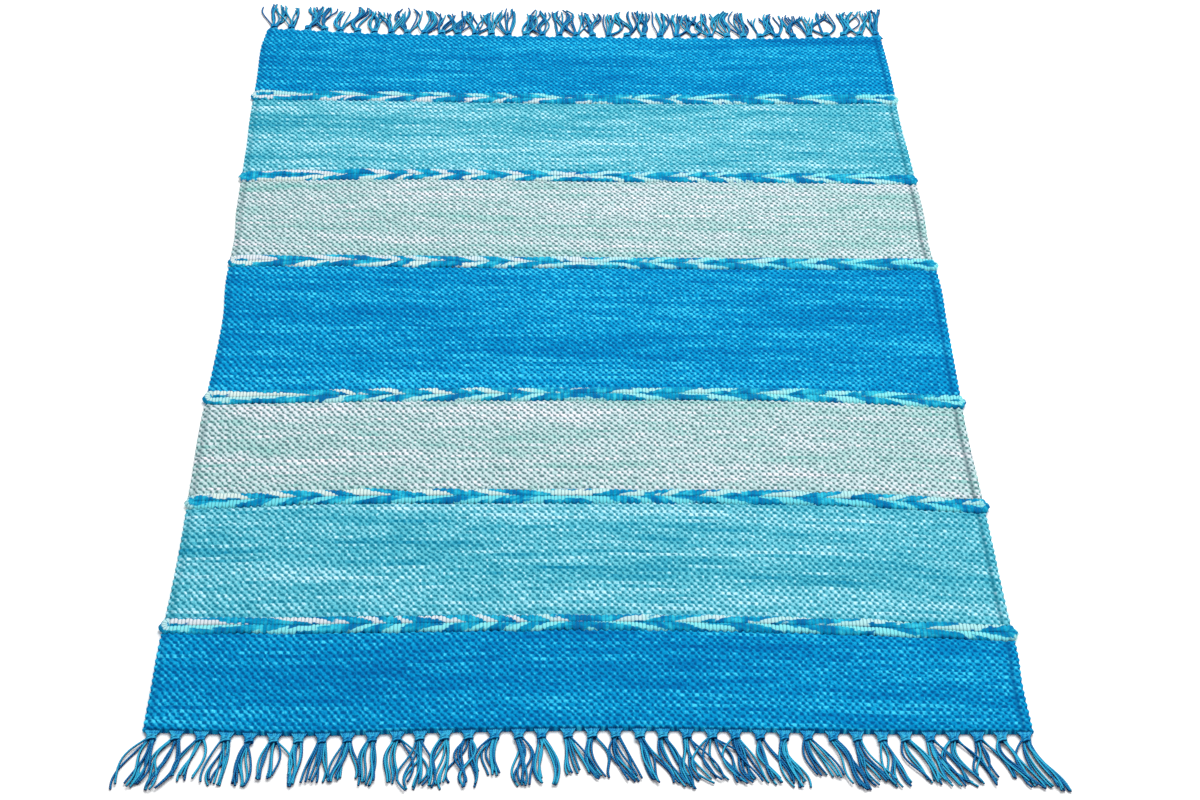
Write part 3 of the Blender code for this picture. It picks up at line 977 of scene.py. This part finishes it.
def thread_maps(distance, shades, sides):
    """Maps for many threads: the ply and the shade, the height and the distance, and the layout."""
    paths, rings = distance.shape
    around = np.linspace(0, 1, sides + 1)[None, None, :]
    ply = distance[:, :, None] / PLY_PITCH - around
    shade = np.asarray(shades)[:, None, None] + 0 * ply
    level = (1 + np.sin(2 * math.pi * around)) / 2 + 0 * ply
    far = distance[:, :, None] + 0 * ply
    inside = BAKE_MARGIN + (1 - 2 * BAKE_MARGIN) * around
    bake_u = (np.arange(paths)[:, None, None] + inside) / paths + 0 * ply
    bake_v = np.linspace(0, 1, rings)[None, :, None] + 0 * ply
    flat = (paths * rings, sides + 1, 2)
    return {
        "ply": np.stack([ply, shade], axis=-1).reshape(flat),
        "level": np.stack([level, far], axis=-1).reshape(flat),
        "OFBake": np.stack([bake_u, bake_v], axis=-1).reshape(flat),
    }


def make_threads(end):
    """The threads of one end, and the place and shade of each tassel's knot."""
    chance = random.Random(end.seed)
    paths, shades, knot_plan = [], [], []
    for middle in tassel_places(chance):
        lean = float(smooth(middle, LEAN_X, end.leans)) + chance.gauss(0, LEAN_JITTER)
        knot_plan.append((middle, chance.random()))
        locks = [
            (fan + chance.gauss(0, LOCK_JITTER), fan + chance.gauss(0, end.bow),
             chance.gauss(0, end.wave))
            for fan in LOCK_FANS
        ]
        count = end.threads + (CORNER_EXTRA if middle in (FIRST_TASSEL, LAST_TASSEL) else 0)
        length = chance.uniform(end.shortest, end.longest)
        for number in range(count):
            lock = locks[number * len(locks) // count]
            offset = number - (count - 1) / 2
            paths.append(thread_path(end, middle, lean, length, offset, count, lock, chance))
            shades.append(chance.random())
    points, distance = sweep(np.array(paths), THREAD_RADIUS, THREAD_SIDES)
    points = points.reshape(-1, THREAD_SIDES + 1, 3)
    maps = thread_maps(distance, shades, THREAD_SIDES)
    return roll_grid(end.name + "_threads", points, maps, run=THREAD_RINGS), knot_plan


fringe_threads, knot_plans = [], []
for end in ENDS:
    threads, knot_plan = make_threads(end)
    fringe_threads.append(threads)
    knot_plans.append(knot_plan)

# %% [markdown]
# An overhand knot shows two turns of yarn side by side and a third that slants over them. Three small
# closed rings round each bunch give that, and they hide where the threads cross. They use the
# threads' maps too, with a distance that stays short, so they wear the dye of the cloth, with the
# yarn's painted highlight on their outer side and its painted shade inside.

# %% The knots
KNOT_WIDTH = 2.5
KNOT_HEIGHT = 1.6
KNOT_LIFT = 0.3
KNOT_SIZES = (0.92, 1.08)
KNOT_RINGS = 14
KNOT_SIDES = 6
KNOT_YARN = 1.1
KNOT_SKEW = 0.6
KNOT_PLIES = 2.5
TURNS_OF_KNOT = ((-1.2, 1.3), (1.0, 1.1), (0.0, -1.6))  # place along the bunch, slant


def knot_turn(end, middle, along, slant, size):
    angle = np.linspace(0, 2 * math.pi, KNOT_RINGS)
    edge = float(smooth(middle, BOW_X, end.line))
    return np.column_stack([
        middle + KNOT_WIDTH * size * np.cos(angle),
        edge + end.side * (KNOT_REACH + along) + slant * np.cos(angle + KNOT_SKEW),
        KNOT_LEVEL + KNOT_LIFT + KNOT_HEIGHT * size * np.sin(angle),
    ])


def sweep_ring(path, radius, sides):
    """Points round a closed ring whose axis runs along the rug."""
    outward = path - path[:-1].mean(axis=0)
    outward[:, 1] = 0.0
    outward /= np.linalg.norm(outward, axis=1, keepdims=True)
    angle = np.linspace(0, 2 * math.pi, sides + 1)[None, :, None]
    axis = np.array([0.0, 1.0, 0.0])
    return path[:, None] + radius * (outward[:, None] * np.sin(angle) + axis * np.cos(angle))


def make_knots(end, knot_plan):
    rings, shades = [], []
    for middle, shade in knot_plan:
        size = KNOT_SIZES[0] + (KNOT_SIZES[1] - KNOT_SIZES[0]) * shade
        for along, slant in TURNS_OF_KNOT:
            path = knot_turn(end, middle, along, slant, size)
            rings.append(sweep_ring(path, KNOT_YARN, KNOT_SIDES))
            shades.append(shade)
    points = np.array(rings).reshape(-1, KNOT_SIDES + 1, 3)
    round_once = np.linspace(0, KNOT_PLIES * PLY_PITCH, KNOT_RINGS)[None, :]
    maps = thread_maps(round_once.repeat(len(rings), axis=0), shades, KNOT_SIDES)
    return roll_grid(end.name + "_knots", points, maps, run=KNOT_RINGS)


knots = [make_knots(end, knot_plan) for end, knot_plan in zip(ENDS, knot_plans)]

# %% [markdown]
# Fringe yarn is two plies twisted together, one blue and one nearer teal. The map that was made
# with each thread counts the turns of the ply, so a stripe winds round the thread like on a rope.
# Near the cloth the yarn keeps the cloth's brighter dye. The top of each thread gets a painted
# highlight, stronger on some threads and along the ply stripe, and the rest of its round, down to
# the side near the floor, gets painted shade, where its neighbours keep the light off.

# %% The fringe yarn
PLY_BLUE = linear(0, 60, 134)
PLY_TEAL = linear(0, 112, 158)
PLY_HIGHLIGHT = linear(62, 182, 216)
PLY_SHADE = linear(0, 24, 70)
KNOT_BLUE = linear(0, 134, 196)
KNOT_DEEP = linear(0, 88, 156)
CLOTH_DYE_STOPS, THREAD_DYE_STARTS = 8.0, 12.0  # mm along the thread
SHADE_SHARE = 0.9


def plied(name):
    material, tree, shader = cotton(name, roughness=0.8)
    turns, shade = map_values(tree, "ply")
    level, far = map_values(tree, "level")
    stripe = sums(tree, "COSINE", sums(tree, "MULTIPLY", turns, 4 * math.pi))
    thread_dye = blend(tree, above(tree, shade, 0.35, 0.7), PLY_BLUE, PLY_TEAL)
    cloth_dye = blend(tree, above(tree, stripe, -1.0, 1.0), KNOT_DEEP, KNOT_BLUE)
    near = below(tree, far, CLOTH_DYE_STOPS, THREAD_DYE_STARTS)
    dye = blend(tree, near, thread_dye, cloth_dye)
    # Painted highlight along the top of each thread.
    painted_highlight = sums(tree, "MULTIPLY_ADD", above(tree, stripe, -0.4, 1.0), 0.3, 0.15)
    painted_highlight = sums(tree, "MULTIPLY_ADD", above(tree, shade, 0.35, 0.75), 0.5, painted_highlight)
    painted_highlight = sums(tree, "MULTIPLY", painted_highlight, above(tree, level, 0.7, 1.0))
    dye = blend(tree, painted_highlight, dye, PLY_HIGHLIGHT)
    # Painted shade on the sides and the underside of each thread.
    painted_shade = sums(tree, "MULTIPLY", below(tree, level, 0.6, 0.93), SHADE_SHARE)
    dye = blend(tree, painted_shade, dye, PLY_SHADE)
    finish_yarn(tree, shader, dye, stripe, 0.5, 0.3)
    return material


fringe_yarn = plied("fringe yarn")
for piece in (*fringe_threads, *knots):
    piece.data.materials.append(fringe_yarn)
print("fringe pieces:", len(fringe_threads) + len(knots))

# %% [markdown]
# Last, each piece is tied to the solid model: it moves with the rug's one body, and the solid that
# it dresses is hidden.

# %% Tie the pieces to the solid model
for piece, dye, _ in bands:
    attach(piece, "root")
    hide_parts("ground")
for piece in arrow_bands:
    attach(piece, "root")
    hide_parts("ground")
for end, threads, knot in zip(ENDS, fringe_threads, knots):
    for piece in (threads, knot):
        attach(piece, "root")
        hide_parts(end.name)
for number, (piece, dye, length) in enumerate(bands):
    going_along = []
    if number < len(arrow_bands):
        going_along.append(arrow_bands[number])
    if number == 0:
        going_along += [fringe_threads[0], knots[0]]
    if number == len(bands) - 1:
        going_along += [fringe_threads[1], knots[1]]
